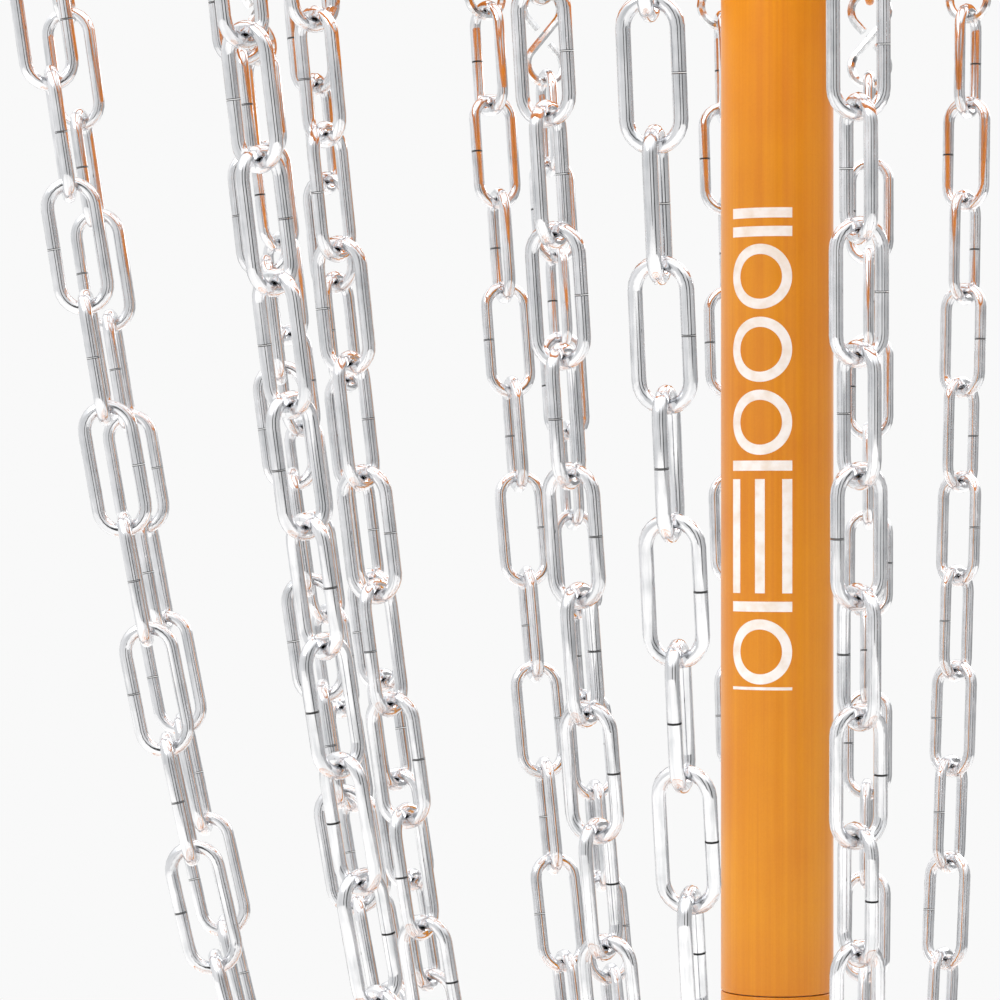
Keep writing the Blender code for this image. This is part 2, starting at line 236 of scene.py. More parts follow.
# Plain turned steel: lathe rings 0.4 mm apart round the joiner.
turned_steel, tree, shader = new_finish("turned_mild_steel", Metallic=1.0, Base_Color=linear("#A9A9AC"))
rings = add_node(tree, "ShaderNodeTexWave",
                 {"Vector": object_place(tree), "Scale": 1 / 0.0004 / math.tau, "Distortion": 0.4},
                 bands_direction="Z")
feed(tree, shader, Roughness=remap(tree, rings.outputs["Fac"], 0.0, 1.0, 0.28, 0.45))
for node in ("pole_joiner_lower", "pole_joiner_upper"):
    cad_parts[node].material_slots[0].material = turned_steel

# Mark on the pole: plain bars and rings printed in white ink along the upper tube, a generic
# pattern that holds no letters. The print is a few hundredths of a millimetre thick.
PRINT_AZIMUTH = 248.1
PRINT_TOP = 1.2223
PRINT_WIDTH = 0.0219
PRINT_LENGTH = 0.1614


def printed(outline_rows, lift=0.00006):
    """Strips of (across, down) rows wrapped on the pole as one thin print."""
    bm = bmesh.new()
    for rows, closed in outline_rows:
        made = []
        for row in rows:
            line = []
            for across, down in row:
                angle = math.radians(PRINT_AZIMUTH) + (across - PRINT_WIDTH / 2) / POLE_RADIUS
                reach = POLE_RADIUS + lift
                line.append(bm.verts.new((reach * math.cos(angle), reach * math.sin(angle), PRINT_TOP - down)))
            made.append(line)
        for line, following in zip(made, made[1:] + (made[:1] if closed else [])):
            for k in range(len(line) - 1):
                bm.faces.new((line[k], following[k], following[k + 1], line[k + 1]))
    bmesh.ops.recalc_face_normals(bm, faces=bm.faces)
    for face in bm.faces:
        outwards = face.calc_center_median()
        outwards.z = 0.0
        if face.normal.dot(outwards) < 0:
            face.normal_flip()
    bmesh.ops.solidify(bm, geom=list(bm.faces), thickness=0.00005)
    bmesh.ops.recalc_face_normals(bm, faces=bm.faces)
    return to_mesh(bm)


def bar(left, right, top, bottom):
    """Rows of a plain rectangle."""
    steps = max(2, round((right - left) / 0.0012))
    row = [left + (right - left) * i / steps for i in range(steps + 1)]
    return [[(x, y) for x in row] for y in (top, bottom)], False


def ring(centre, middle, radius, stroke, start=0.0, sweep=360.0):
    """Rows of a ring, or part of one, with a constant stroke."""
    steps = 64
    rows = []
    for i in range(steps + (0 if sweep == 360.0 else 1)):
        angle = math.radians(start + sweep * i / steps)
        rows.append([(centre + (radius + s) * math.cos(angle), middle + (radius + s) * math.sin(angle))
                     for s in (-stroke / 2, -stroke / 6, stroke / 6, stroke / 2)])
    return rows, sweep == 360.0


middle = PRINT_WIDTH / 2
shapes = [bar(0.0, PRINT_WIDTH, 0.0, 0.0034), bar(0.0, PRINT_WIDTH, 0.0062, 0.0096)]
for k in range(3):
    shapes.append(ring(middle, 0.0230 + 0.0244 * k, 0.0092, 0.0034))
shapes += [bar(0.0, PRINT_WIDTH, 0.0846, 0.0880), bar(0.0, 0.0034, 0.0908, 0.1290),
           bar(middle - 0.0017, middle + 0.0017, 0.0908, 0.1290),
           bar(PRINT_WIDTH - 0.0034, PRINT_WIDTH, 0.0908, 0.1290), bar(0.0, PRINT_WIDTH, 0.1318, 0.1352)]
shapes += [ring(middle, 0.1486, 0.0092, 0.0034), bar(0.0, PRINT_WIDTH, PRINT_LENGTH - 0.0010, PRINT_LENGTH)]
# White screen ink: flat and slightly chalky, with thin spots where the coat shows through.
ink, tree, shader = new_finish("white_screen_ink", Metallic=0.0, IOR=1.5)
thin = remap(tree, noise(tree, object_place(tree), 0.004, 5.0), 0.3, 0.6)
feed(tree, shader, Base_Color=blend(tree, thin, linear("#E9DDD0"), linear("#F4F0EC")))
shader.inputs["Roughness"].default_value = 0.5
place_piece("pole_print", printed(shapes), ink, "stand")


# ---------------------------------------------------------------- Base
# A hoop of 25 mm steel tube, four tube spokes and a socket for the pole, MIG-welded and powder-coated
# orange as one weldment. It stands on four screwed rubber pads.
def wire(points, radius, closed=False, resolution=3, swell=None):
    """A round wire along a row of points, as a mesh. Swell scales the radius at each point."""
    curve = bpy.data.curves.new("wire", "CURVE")
    curve.dimensions = "3D"
    curve.bevel_depth = radius
    curve.bevel_resolution = resolution
    curve.use_fill_caps = not closed
    spline = curve.splines.new("POLY")
    spline.points.add(len(points) - 1)
    for i, point in enumerate(points):
        spline.points[i].co = (*point, 1.0)
        spline.points[i].radius = swell[i] if swell else 1.0
    spline.use_cyclic_u = closed
    holder = bpy.data.objects.new("wire", curve)
    mesh = bpy.data.meshes.new_from_object(holder)
    bpy.data.objects.remove(holder)
    bm = bmesh.new()
    bm.from_mesh(mesh)
    return closed_mesh(bm, 1e-7)


def polar(radius, azimuth, height):
    """A point round the pole, with the azimuth in degrees."""
    angle = math.radians(azimuth)
    return Vector((radius * math.cos(angle), radius * math.sin(angle), height))


def hoop(radius, height, thickness, steps=144, resolution=3):
    """A ring of round wire that lies flat, as a mesh."""
    sides = 4 + 4 * resolution
    outline = [(radius + thickness / 2 * math.cos(math.tau * i / sides),
                height + thickness / 2 * math.sin(math.tau * i / sides)) for i in range(sides)]
    return turned(outline, steps)


def welded_hoop(radius, height, thickness, steps, resolution, seam_azimuth, seam_half, swell):
    """A hoop with the butt weld that closes it; the angles are in degrees."""
    seam = [polar(radius, seam_azimuth + a, height) for a in (-seam_half, 0.0, seam_half)]
    return joined(hoop(radius, height, thickness, steps, resolution),
                  wire(seam, thickness / 2, False, resolution, swell))


def mid_height(node):
    """The height half way up a CAD node's box."""
    low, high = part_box(node)
    return (low.z + high.z) / 2


def weld_bead(centre, axis, radius, thickness, squeeze=1.0):
    """A rippled weld bead round a rod, in the plane across its axis."""
    axis = Vector(axis).normalized()
    side = axis.orthogonal().normalized()
    other = axis.cross(side)
    steps = max(24, round(math.tau * radius / 0.0011))
    points = [Vector(centre) + (side * math.cos(math.tau * i / steps) +
                                other * math.sin(math.tau * i / steps) * squeeze) * radius
              for i in range(steps)]
    swell = [1.0 + 0.10 * math.sin(math.tau * i / 3) + 0.08 * math.sin(math.tau * 5 * i / steps)
             for i in range(steps)]
    return wire(points, thickness / 2, True, 1, swell)


def build_copies():
    """A node tree that sets copies of a mesh round the pole, evenly spaced."""
    tree = bpy.data.node_groups.new("copies_round_the_pole", "GeometryNodeTree")
    face = tree.interface
    face.new_socket("Geometry", in_out="INPUT", socket_type="NodeSocketGeometry")
    count = face.new_socket("Count", in_out="INPUT", socket_type="NodeSocketInt").identifier
    start = face.new_socket("First Azimuth", in_out="INPUT", socket_type="NodeSocketFloat").identifier
    coat = face.new_socket("Finish", in_out="INPUT", socket_type="NodeSocketMaterial").identifier
    face.new_socket("Geometry", in_out="OUTPUT", socket_type="NodeSocketGeometry")
    given = add_node(tree, "NodeGroupInput").outputs
    spots = add_node(tree, "GeometryNodePoints", {"Count": given["Count"]})
    step = math_value(tree, "DIVIDE", math.tau, given["Count"])
    index = add_node(tree, "GeometryNodeInputIndex").outputs[0]
    angle = math_value(tree, "MULTIPLY_ADD", index, step, given["First Azimuth"])
    turn = add_node(tree, "ShaderNodeCombineXYZ", {"Z": angle})
    copies = add_node(tree, "GeometryNodeInstanceOnPoints",
                      {"Points": spots.outputs[0], "Instance": given["Geometry"],
                       "Rotation": turn.outputs[0]})
    real = add_node(tree, "GeometryNodeRealizeInstances", {"Geometry": copies.outputs[0]})
    coated = add_node(tree, "GeometryNodeSetMaterial",
                      {"Geometry": real.outputs[0], "Material": given["Finish"]})
    add_node(tree, "NodeGroupOutput", {0: coated.outputs[0]})
    return tree, (count, start, coat)


def run_tree(mesh, tree, values):
    """The mesh that a node tree makes from a mesh, with its inputs set by identifier."""
    holder = bpy.data.objects.new("holder", mesh)
    bpy.context.scene.collection.objects.link(holder)
    modifier = holder.modifiers.new("nodes", "NODES")
    modifier.node_group = tree
    for identifier, value in values.items():
        modifier[identifier] = value
    graph = bpy.context.evaluated_depsgraph_get()
    result = bpy.data.meshes.new_from_object(holder.evaluated_get(graph))
    holder.modifiers.remove(modifier)
    bpy.data.objects.remove(holder)
    return result


copies_tree, (COPY_COUNT, COPY_START, COPY_FINISH) = build_copies()


def round_the_pole(mesh, count, azimuth, finish):
    """Copies of a mesh that was made at azimuth 0, the first at the given azimuth."""
    return run_tree(mesh, copies_tree,
                    {COPY_COUNT: count, COPY_START: math.radians(azimuth), COPY_FINISH: finish})


# Powder coat: an even satin orange with a soft orange-peel texture about 1.5 mm across.
powder = make_orange("orange_powder_coat", "#DC850F", "#D2790B", 0.10, 0.0016, 0.34)
BASE_RING_RADIUS = 0.285
BASE_TUBE = 0.025
SPOKE_RADIUS = 0.011
FOOT_HEIGHT = 0.012
HUB_INNER = POLE_RADIUS + 0.0005
HUB_WALL = 0.006
TRAY_HUB_WALL = 0.005
HUB_OUTER = HUB_INNER + HUB_WALL
tube_height = FOOT_HEIGHT + BASE_TUBE / 2
base_ring = welded_hoop(BASE_RING_RADIUS, tube_height, BASE_TUBE, 180, 5, 10.0, 0.35, [0.995, 1.012, 0.995])
place_piece("base_hoop", base_ring, powder, "stand", ["base_ring"])

low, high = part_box("base_hub")
floor_top = FOOT_HEIGHT + 0.004
cup = [(0.004, floor_top), (0.004, low.z), (HUB_OUTER, low.z), (HUB_OUTER, high.z), (HUB_INNER, high.z),
       (HUB_INNER, floor_top)]
place_piece("base_socket", turned(rounded(cup, 0.0008, 3), 96), powder, "stand", ["base_hub"])

spoke = wire([Vector((HUB_OUTER - 0.001, 0, tube_height)), Vector((0.15, 0, tube_height)),
              Vector((BASE_RING_RADIUS - BASE_TUBE / 2 + 0.002, 0, tube_height))], SPOKE_RADIUS, False, 6)
beads = [weld_bead((HUB_OUTER + 0.0006, 0, tube_height), (1, 0, 0), SPOKE_RADIUS + 0.0008, 0.0042),
         weld_bead((BASE_RING_RADIUS - BASE_TUBE / 2 - 0.0002, 0, tube_height), (1, 0, 0),
                   SPOKE_RADIUS + 0.0004, 0.0042, 0.86)]
place_piece("base_spokes", round_the_pole(joined(spoke, *beads), 4, 45.0, powder), powder, "stand",
            [f"base_spoke_{i}" for i in range(1, 5)])

# Black rubber: matt and slightly grey where it is moulded, with a fine pitted skin.
rubber, tree, shader = new_finish("black_moulded_rubber", Metallic=0.0, IOR=1.52)
pits = noise(tree, object_place(tree), 0.0009, 3.0)
feed(tree, shader, Base_Color=blend(tree, pits, linear("#1A1A1A"), linear("#2C2B2A")),
     Normal=relief(tree, pits, 0.35, 0.0004))
shader.inputs["Roughness"].default_value = 0.75
low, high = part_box("base_foot_1")
FOOT_RADIUS = 0.016
pad = [(0.0, 0.0035), (0.0055, 0.0035), (0.0055, low.z), (FOOT_RADIUS - 0.0006, low.z),
       (FOOT_RADIUS, 0.003), (FOOT_RADIUS - 0.0008, 0.0042), (FOOT_RADIUS, 0.0054),
       (FOOT_RADIUS - 0.0032, high.z), (0.0, high.z)]
feet = turned(rounded(pad, 0.0005, 3), 48)
feet.transform(Matrix.Translation((BASE_RING_RADIUS, 0, 0)))
place_piece("rubber_feet", round_the_pole(feet, 4, 45.0, rubber), rubber, "stand",
            [f"base_foot_{i}" for i in range(1, 5)])

# Zinc plate: the same bright, almost neutral coat as the chains, on the small turned parts.
def make_zinc(name, place_of, pale, dark, across, along, low_gloss, high_gloss):
    """Zinc plate with fine lines left by drawing, which lie along the given coordinates' Z."""
    made, tree, shader = new_finish(name, Metallic=1.0)
    place = place_of(tree)
    stretch = add_node(tree, "ShaderNodeMapping",
                       {"Vector": place, "Scale": (1 / across, 1 / across, 1 / along)})
    lines = noise(tree, stretch.outputs[0], 1.0, 3.0, 0.6)
    mixed = math_value(tree, "MULTIPLY_ADD", noise(tree, place, 0.006, 2.0), 0.45, lines)
    feed(tree, shader, Base_Color=blend(tree, remap(tree, mixed, 0.5, 0.95), linear(dark), linear(pale)),
         Roughness=remap(tree, mixed, 0.5, 0.95, high_gloss, low_gloss),
         Normal=relief(tree, lines, 0.12, 0.00015))
    return made


zinc_plate = make_zinc("bright_zinc_plate", object_place, "#EEEFF0", "#C5C7C9", 0.0016, 0.0022, 0.09, 0.22)


def hex_nut(flats, thickness, bore):
    """A hexagon nut with a through hole and chamfered corners, its axis along Z."""
    steps = 36
    # radius (None on the hexagon), height, whether the corners are chamfered
    levels = [(bore / 2 + 0.0005, 0.0, False), (None, 0.0, True), (None, thickness * 0.12, False),
              (None, thickness * 0.88, False), (None, thickness, True), (bore / 2 + 0.0005, thickness, False),
              (bore / 2, thickness - 0.0005, False), (bore / 2, 0.0005, False)]
    rows = []
    for radius, height, chamfered in levels:
        row = []
        for i in range(steps):
            angle = math.tau * i / steps
            reach = radius or flats / 2 / math.cos(angle % (math.pi / 3) - math.pi / 6)
            if chamfered:
                reach = min(reach, flats / 2 * 1.005)
            row.append((reach * math.cos(angle), reach * math.sin(angle), height))
        rows.append(row)
    return skinned(rows, True)


# ---------------------------------------------------------------- Lock knobs
# Five-lobed hand knobs moulded in black plastic on an M8 zinc-plated stud. Each stud screws through
# a nut welded to its hub and presses on the pole.
KNOB_AZIMUTH = 317.0
KNOB_LOBES = 5


def knob_head():
    """The moulded head: rounded lobes, a dished face and a skirt at the back."""
    steps = 90
    # radius, lobe height, distance along the stud
    levels = [(0.0060, 0.0, 0.0100), (0.0085, 0.0, 0.0100), (0.0090, 0.0001, 0.0112),
              (0.0150, 0.0014, 0.0118), (0.0164, 0.0019, 0.0126), (0.0170, 0.0020, 0.0142),
              (0.0170, 0.0020, 0.0205), (0.0166, 0.0020, 0.0226), (0.0156, 0.0018, 0.0236),
              (0.0140, 0.0014, 0.0240), (0.0100, 0.0002, 0.0236), (0.0092, 0.0, 0.0230),
              (0.0060, 0.0, 0.0228), (0.0030, 0.0, 0.0227)]
    rows = []
    for radius, lobe, along in levels:
        row = []
        for i in range(steps):
            angle = math.tau * i / steps
            wave = math.cos(KNOB_LOBES * angle)
            reach = radius + lobe * (wave - 0.25 * (1 - wave) ** 2 * 0.4)
            row.append((reach * math.cos(angle), reach * math.sin(angle), along))
        rows.append(row)
    return skinned(rows, False)


def threaded_stud(radius, depth, pitch, start, end):
    """A screwed rod along Z with a helical thread."""
    around, per_turn = 20, 6
    levels = round((end - start) / pitch * per_turn)
    rows = []
    for level in range(levels + 1):
        along = start + (end - start) * level / levels
        row = []
        for i in range(around):
            angle = math.tau * i / around
            phase = (i / around + (along - start) / pitch) % 1.0
            reach = radius - depth * abs(2 * phase - 1)
            row.append((reach * math.cos(angle), reach * math.sin(angle), along))
        rows.append(row)
    return skinned(rows, False)


# Moulded polyamide: near black, satin, with a fine spark-eroded grain of about 0.8 mm.
knob_black, tree, shader = new_finish("moulded_polyamide", Metallic=0.0, IOR=1.53)
grain = noise(tree, object_place(tree), 0.0008, 2.0)
feed(tree, shader, Base_Color=blend(tree, grain, linear("#232326"), linear("#303034")),
     Normal=relief(tree, grain, 0.3, 0.0002))
shader.inputs["Roughness"].default_value = 0.42

for hub, carrier, wall in (("base", "stand", HUB_WALL), ("tray", "tray", TRAY_HUB_WALL),
                           ("holder", "chain_holder", HUB_WALL)):
    face = polar(1.0, KNOB_AZIMUTH, 0.0)
    stand_at = polar(HUB_INNER + wall + 0.0005, KNOB_AZIMUTH, mid_height(hub + "_lock_knob"))
    towards = Matrix.Translation(stand_at) @ face.to_track_quat("Z", "Y").to_matrix().to_4x4()
    head = knob_head()
    stud = threaded_stud(0.004, 0.0005, 0.00125, 0.0, 0.0104)
    cap = turned(rounded([(0.0, 0.0218), (0.0040, 0.0218), (0.0040, 0.0232), (0.0, 0.0232)], 0.0003, 2), 32)
    nut = hex_nut(0.013, 0.0062, 0.0084)
    nut.transform(Matrix.Translation((0, 0, -0.0014)))
    nut_bead = weld_bead((0, 0, 0.0004), (0, 0, 1), 0.0076, 0.0030)
    for mesh in (head, stud, cap, nut, nut_bead):
        mesh.transform(towards)
    place_piece(hub + "_knob_head", head, knob_black, hub + "_knob", [hub + "_lock_knob"])
    place_piece(hub + "_knob_stud", joined(stud, cap), zinc_plate, hub + "_knob")
    place_piece(hub + "_knob_nut", joined(nut, nut_bead), powder, carrier)

# ---------------------------------------------------------------- Tray
# A welded wire basket: each 6 mm rod runs down the wall, bends at the foot and goes in to the collar.
# 5 mm hoops cross under and outside the rods, a 10 mm rim closes the top, and all of it is coated.
RIM_RADIUS = 0.325
RIM_WIRE = 0.010
FOOT_RING_RADIUS = 0.315
ROD_WIRE = 0.006
HOOP_WIRE = 0.005
ROD_COUNT = 24
SHORT_ROD_END = 0.1385
FLOOR_HOOP_RADII = (0.06, 0.14, 0.225)
WALL_HOOP_RISES = (0.018, 0.097)
OVERLAP = 0.0007  # how far two crossing wires sink into each other at a resistance weld
rim_height = mid_height("tray_rim")


def tray_rod(inner_end):
    """One bent rod from under the rim to its inner end, with a nugget at each hoop it crosses."""
    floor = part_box("tray_wall")[0].z + ROD_WIRE / 2
    top = Vector((RIM_RADIUS, 0, rim_height - RIM_WIRE / 2 + 0.0006))
    corner = Vector((FOOT_RING_RADIUS, 0, floor))
    down = (top - corner).normalized()
    bend = 0.014
    points = [top, top.lerp(corner, 0.5)]
    start, end = corner + down * bend, corner - Vector((bend, 0, 0))
    for k in range(9):
        t = k / 8
        points.append(start * (1 - t) ** 2 + corner * 2 * t * (1 - t) + end * t * t)
    points += [Vector((FOOT_RING_RADIUS - 0.06, 0, floor)), Vector((inner_end, 0, floor))]
    return wire(points, ROD_WIRE / 2, False, 2), top, corner, down, floor


offset = ROD_WIRE / 2 + HOOP_WIRE / 2 - OVERLAP
_, top, corner, down, floor = tray_rod(0.2)
outwards = Vector((down.z, 0, -down.x))
hoops = [hoop(radius, floor - offset, HOOP_WIRE, 144, 1) for radius in FLOOR_HOOP_RADII]
crossings = [Vector((radius, 0, floor - ROD_WIRE / 2)) for radius in FLOOR_HOOP_RADII]
for rise in WALL_HOOP_RISES:
    spot = corner + down * rise + outwards * offset
    hoops.append(hoop(spot.x, spot.z, HOOP_WIRE, 144, 1))
    crossings.append(corner + down * rise + outwards * ROD_WIRE / 2)


def nugget(spot):
    """The squeezed metal where two wires are resistance-welded."""
    bm = bmesh.new()
    bmesh.ops.create_icosphere(bm, subdivisions=2, radius=0.0024,
                               matrix=Matrix.Translation(spot) @ Matrix.Diagonal((1.0, 1.25, 1.0, 1.0)))
    return to_mesh(bm)


collar_outer = HUB_INNER + TRAY_HUB_WALL
rim_bead = weld_bead(top - Vector((0, 0, 0.0012)), (0, 0, 1), ROD_WIRE / 2 + 0.0006, 0.0026)
long_rod = joined(tray_rod(collar_outer - 0.001)[0], *[nugget(spot) for spot in crossings],
                  weld_bead((collar_outer + 0.0004, 0, floor), (1, 0, 0), ROD_WIRE / 2 + 0.0006, 0.0030),
                  rim_bead)
short_rod = joined(tray_rod(SHORT_ROD_END)[0], *[nugget(spot) for spot in crossings[1:]],
                   rim_bead)
place_piece("tray_long_rods", round_the_pole(long_rod, ROD_COUNT // 2, 0.0, powder), powder, "tray",
            ["tray_floor"])
place_piece("tray_short_rods", round_the_pole(short_rod, ROD_COUNT // 2, 360 / ROD_COUNT, powder), powder,
            "tray", ["tray_wall"])
place_piece("tray_hoops", joined(*hoops), powder, "tray")

rim = welded_hoop(RIM_RADIUS, rim_height, RIM_WIRE, 192, 3, 352.0, 0.2, [0.96, 0.995, 0.96])
place_piece("tray_top_rim", rim, powder, "tray", ["tray_rim"])

low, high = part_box("tray_collar")
collar = [(HUB_INNER, low.z), (collar_outer, low.z), (collar_outer, high.z), (HUB_INNER, high.z)]
place_piece("tray_sleeve", turned(rounded(collar, 0.0008, 3), 96), powder, "tray",
            ["tray_collar"])

low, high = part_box("tray_stop_collar")
inner = POLE_RADIUS + 0.0003
stop = [(inner, low.z), (collar_outer, low.z), (collar_outer, high.z), (inner, high.z)]
grub = turned([(0.0, -0.001), (0.0029, -0.001), (0.0029, 0.0), (0.0024, 0.0006), (0.0014, 0.0006),
               (0.0012, -0.0012), (0.0, -0.0014)], 24)
grub.transform(Matrix.Translation((collar_outer, 0, mid_height("tray_stop_collar"))) @
               Matrix.Rotation(math.pi / 2, 4, "Y"))
place_piece("stop_ring", turned(rounded(stop, 0.0010, 3), 96), zinc_plate, "stand",
            ["tray_stop_collar"])
place_piece("stop_ring_screws", round_the_pole(grub, 2, 250.0, turned_steel), turned_steel, "stand")

# ---------------------------------------------------------------- Chain holder
# A steel cap that drops over the pole, six 10 mm spokes bent down at their ends, two 8 mm hook rings
# welded under them and a rolled band with hemmed edges, all powder-coated orange.
low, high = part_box("holder_hub")
hub_hole = 0.004
plate = 0.004
cup = [(hub_hole, high.z - plate), (HUB_INNER, high.z - plate), (HUB_INNER, low.z), (HUB_OUTER, low.z),
       (HUB_OUTER, high.z), (hub_hole, high.z)]
place_piece("holder_cap", turned(rounded(cup, 0.0009, 3), 96), powder, "chain_holder",
            ["holder_hub"])

BAND_RADIUS = 0.2705
BAND_WALL = 0.003
SHEET = 0.0015
HEM = 0.007
low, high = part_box("band")
outer, back = BAND_RADIUS, BAND_RADIUS - BAND_WALL
front = BAND_RADIUS - 0.0006
rear = front - SHEET
profile = [(outer, low.z), (outer, low.z + HEM), (front, low.z + HEM + 0.0008), (front, high.z - HEM - 0.0008),
           (outer, high.z - HEM), (outer, high.z), (back, high.z), (back, high.z - HEM),
           (rear, high.z - HEM - 0.0008), (rear, low.z + HEM + 0.0008), (back, low.z + HEM), (back, low.z)]
place_piece("rolled_band", turned(rounded(profile, 0.0009, 3), 240), powder, "chain_holder",
            ["band"])

OUTER_RING_RADIUS, INNER_RING_RADIUS, RING_WIRE = 0.2598, 0.1889, 0.008
outer_height = mid_height("outer_hook_ring")
inner_height = mid_height("inner_hook_ring")
place_piece("outer_ring_rod", hoop(OUTER_RING_RADIUS, outer_height, RING_WIRE, 192, 2), powder, "chain_holder",
            ["outer_hook_ring"])
place_piece("inner_ring_rod", hoop(INNER_RING_RADIUS, inner_height, RING_WIRE, 160, 2), powder, "chain_holder",
            ["inner_hook_ring"])

HOLDER_SPOKE_RADIUS = 0.005
HOLDER_SPOKE_START = 10.1
spoke_height = inner_height + RING_WIRE / 2 + HOLDER_SPOKE_RADIUS
leg_radius = back - 0.001 - HOLDER_SPOKE_RADIUS
bend = 0.016
route = [Vector((HUB_OUTER - 0.001, 0, spoke_height)), Vector((0.12, 0, spoke_height))]
for k in range(9):
    angle = math.pi / 2 * k / 8
    route.append(Vector((leg_radius - bend * (1 - math.sin(angle)), 0,
                         spoke_height - bend * (1 - math.cos(angle)))))
route.append(Vector((leg_radius, 0, outer_height + RING_WIRE / 2 - 0.001)))
fillet_height = inner_height + RING_WIRE / 2 - 0.0004
spoke = joined(
    wire(route, HOLDER_SPOKE_RADIUS, False, 3),
    weld_bead((HUB_OUTER + 0.0004, 0, spoke_height), (1, 0, 0), HOLDER_SPOKE_RADIUS + 0.0006, 0.0036),
    weld_bead((leg_radius, 0, outer_height + RING_WIRE / 2 + 0.0006), (0, 0, 1),
              HOLDER_SPOKE_RADIUS - 0.0006, 0.0030),
    *[wire([Vector((INNER_RING_RADIUS + 0.0018 * out, 0.0052 * along, fillet_height))
            for out, along in ((side * 2.2, -0.7), (side * 2.4, 0.0), (side * 2.2, 0.7))], 0.0016, False, 1)
      for side in (-1, 1)])
place_piece("holder_spokes", round_the_pole(spoke, 6, HOLDER_SPOKE_START, powder), powder, "chain_holder",
            [f"holder_spoke_{i}" for i in range(1, 7)])

# Six button-head rivets hold the band on the spokes' legs; the band's lap seam has two more.
rivet_outline = [(0.0, -0.0040), (0.0020, -0.0040), (0.0020, 0.0), (0.0048, 0.0), (0.0046, 0.0010),
                 (0.0034, 0.0021), (0.0016, 0.0026), (0.0, 0.0027)]
rivet = turned(rounded(rivet_outline, 0.0003, 2), 32)
rivet.transform(Matrix.Translation((front, 0, outer_height + 0.0125)) @ Matrix.Rotation(math.pi / 2, 4, "Y"))
seam_rivets = []
for rise in (0.022, 0.058):
    seam_rivet = turned(rounded(rivet_outline, 0.0003, 2), 32)
    seam_rivet.transform(Matrix.Rotation(math.radians(95.0 - HOLDER_SPOKE_START), 4, "Z") @
                         Matrix.Translation((front, 0, low.z + rise)) @ Matrix.Rotation(math.pi / 2, 4, "Y"))
    seam_rivets.append(seam_rivet)
rivets = round_the_pole(rivet, 6, HOLDER_SPOKE_START, zinc_plate)
place_piece("band_rivets", joined(rivets, *seam_rivets), zinc_plate, "chain_holder")

# Hook eyes: small U's of 3.4 mm wire with both legs welded to the ring, one over each strand.
EYE_WIRE = 0.0034
EYE_REACH = 0.0055
EYE_DROP = 0.0042


def hook_eye(ring_radius, ring_height):
    """One eye in the radial plane under a hook ring."""
    points = [Vector((ring_radius - EYE_REACH, 0, ring_height + 0.0015))]
    for k in range(13):
        angle = math.pi * k / 12
        points.append(Vector((ring_radius - EYE_REACH * math.cos(angle), 0,
                              ring_height - EYE_DROP - EYE_REACH * math.sin(angle))))
    points.append(Vector((ring_radius + EYE_REACH, 0, ring_height + 0.0015)))
    return wire(points, EYE_WIRE / 2, False, 2)


OUTER_START, INNER_START = 17.4, 2.7
for row, radius, height, start in (("outer", OUTER_RING_RADIUS, outer_height, OUTER_START),
                                   ("inner", INNER_RING_RADIUS, inner_height, INNER_START)):
    place_piece(row + "_hook_eyes", round_the_pole(hook_eye(radius, height), 12, start, powder), powder,
                "chain_holder")

# ---------------------------------------------------------------- Chains
# An outer strand is nineteen long links and an inner one eighteen, of 4.3 mm wire, bent, butted in the
# middle of one side and zinc-plated bright. A closed S-hook of 3.4 mm wire hangs it from its eye.
LINK_WIRE = 0.0043
LINK_PITCH = 0.036
LINK_WIDTH = 0.0195
HOOK_REACH = 0.043
HOOK_WIRE = 0.0034
OUTER_COLLECTOR_RADIUS = 0.0514
INNER_COLLECTOR_RADIUS = 0.0472
COLLECTOR_WIRE = 0.008
low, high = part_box("outer_collector_ring")
collector_drift = (low.x + high.x) / 2
outer_end = mid_height("outer_collector_ring")
inner_end = mid_height("inner_collector_ring")


def store(tree, geometry, name, value, data_type="FLOAT", domain="POINT"):
    """The geometry with a value stored on it under a name."""
    return add_node(tree, "GeometryNodeStoreNamedAttribute",
                    {"Geometry": geometry, "Name": name, "Value": value},
                    data_type=data_type, domain=domain).outputs[0]


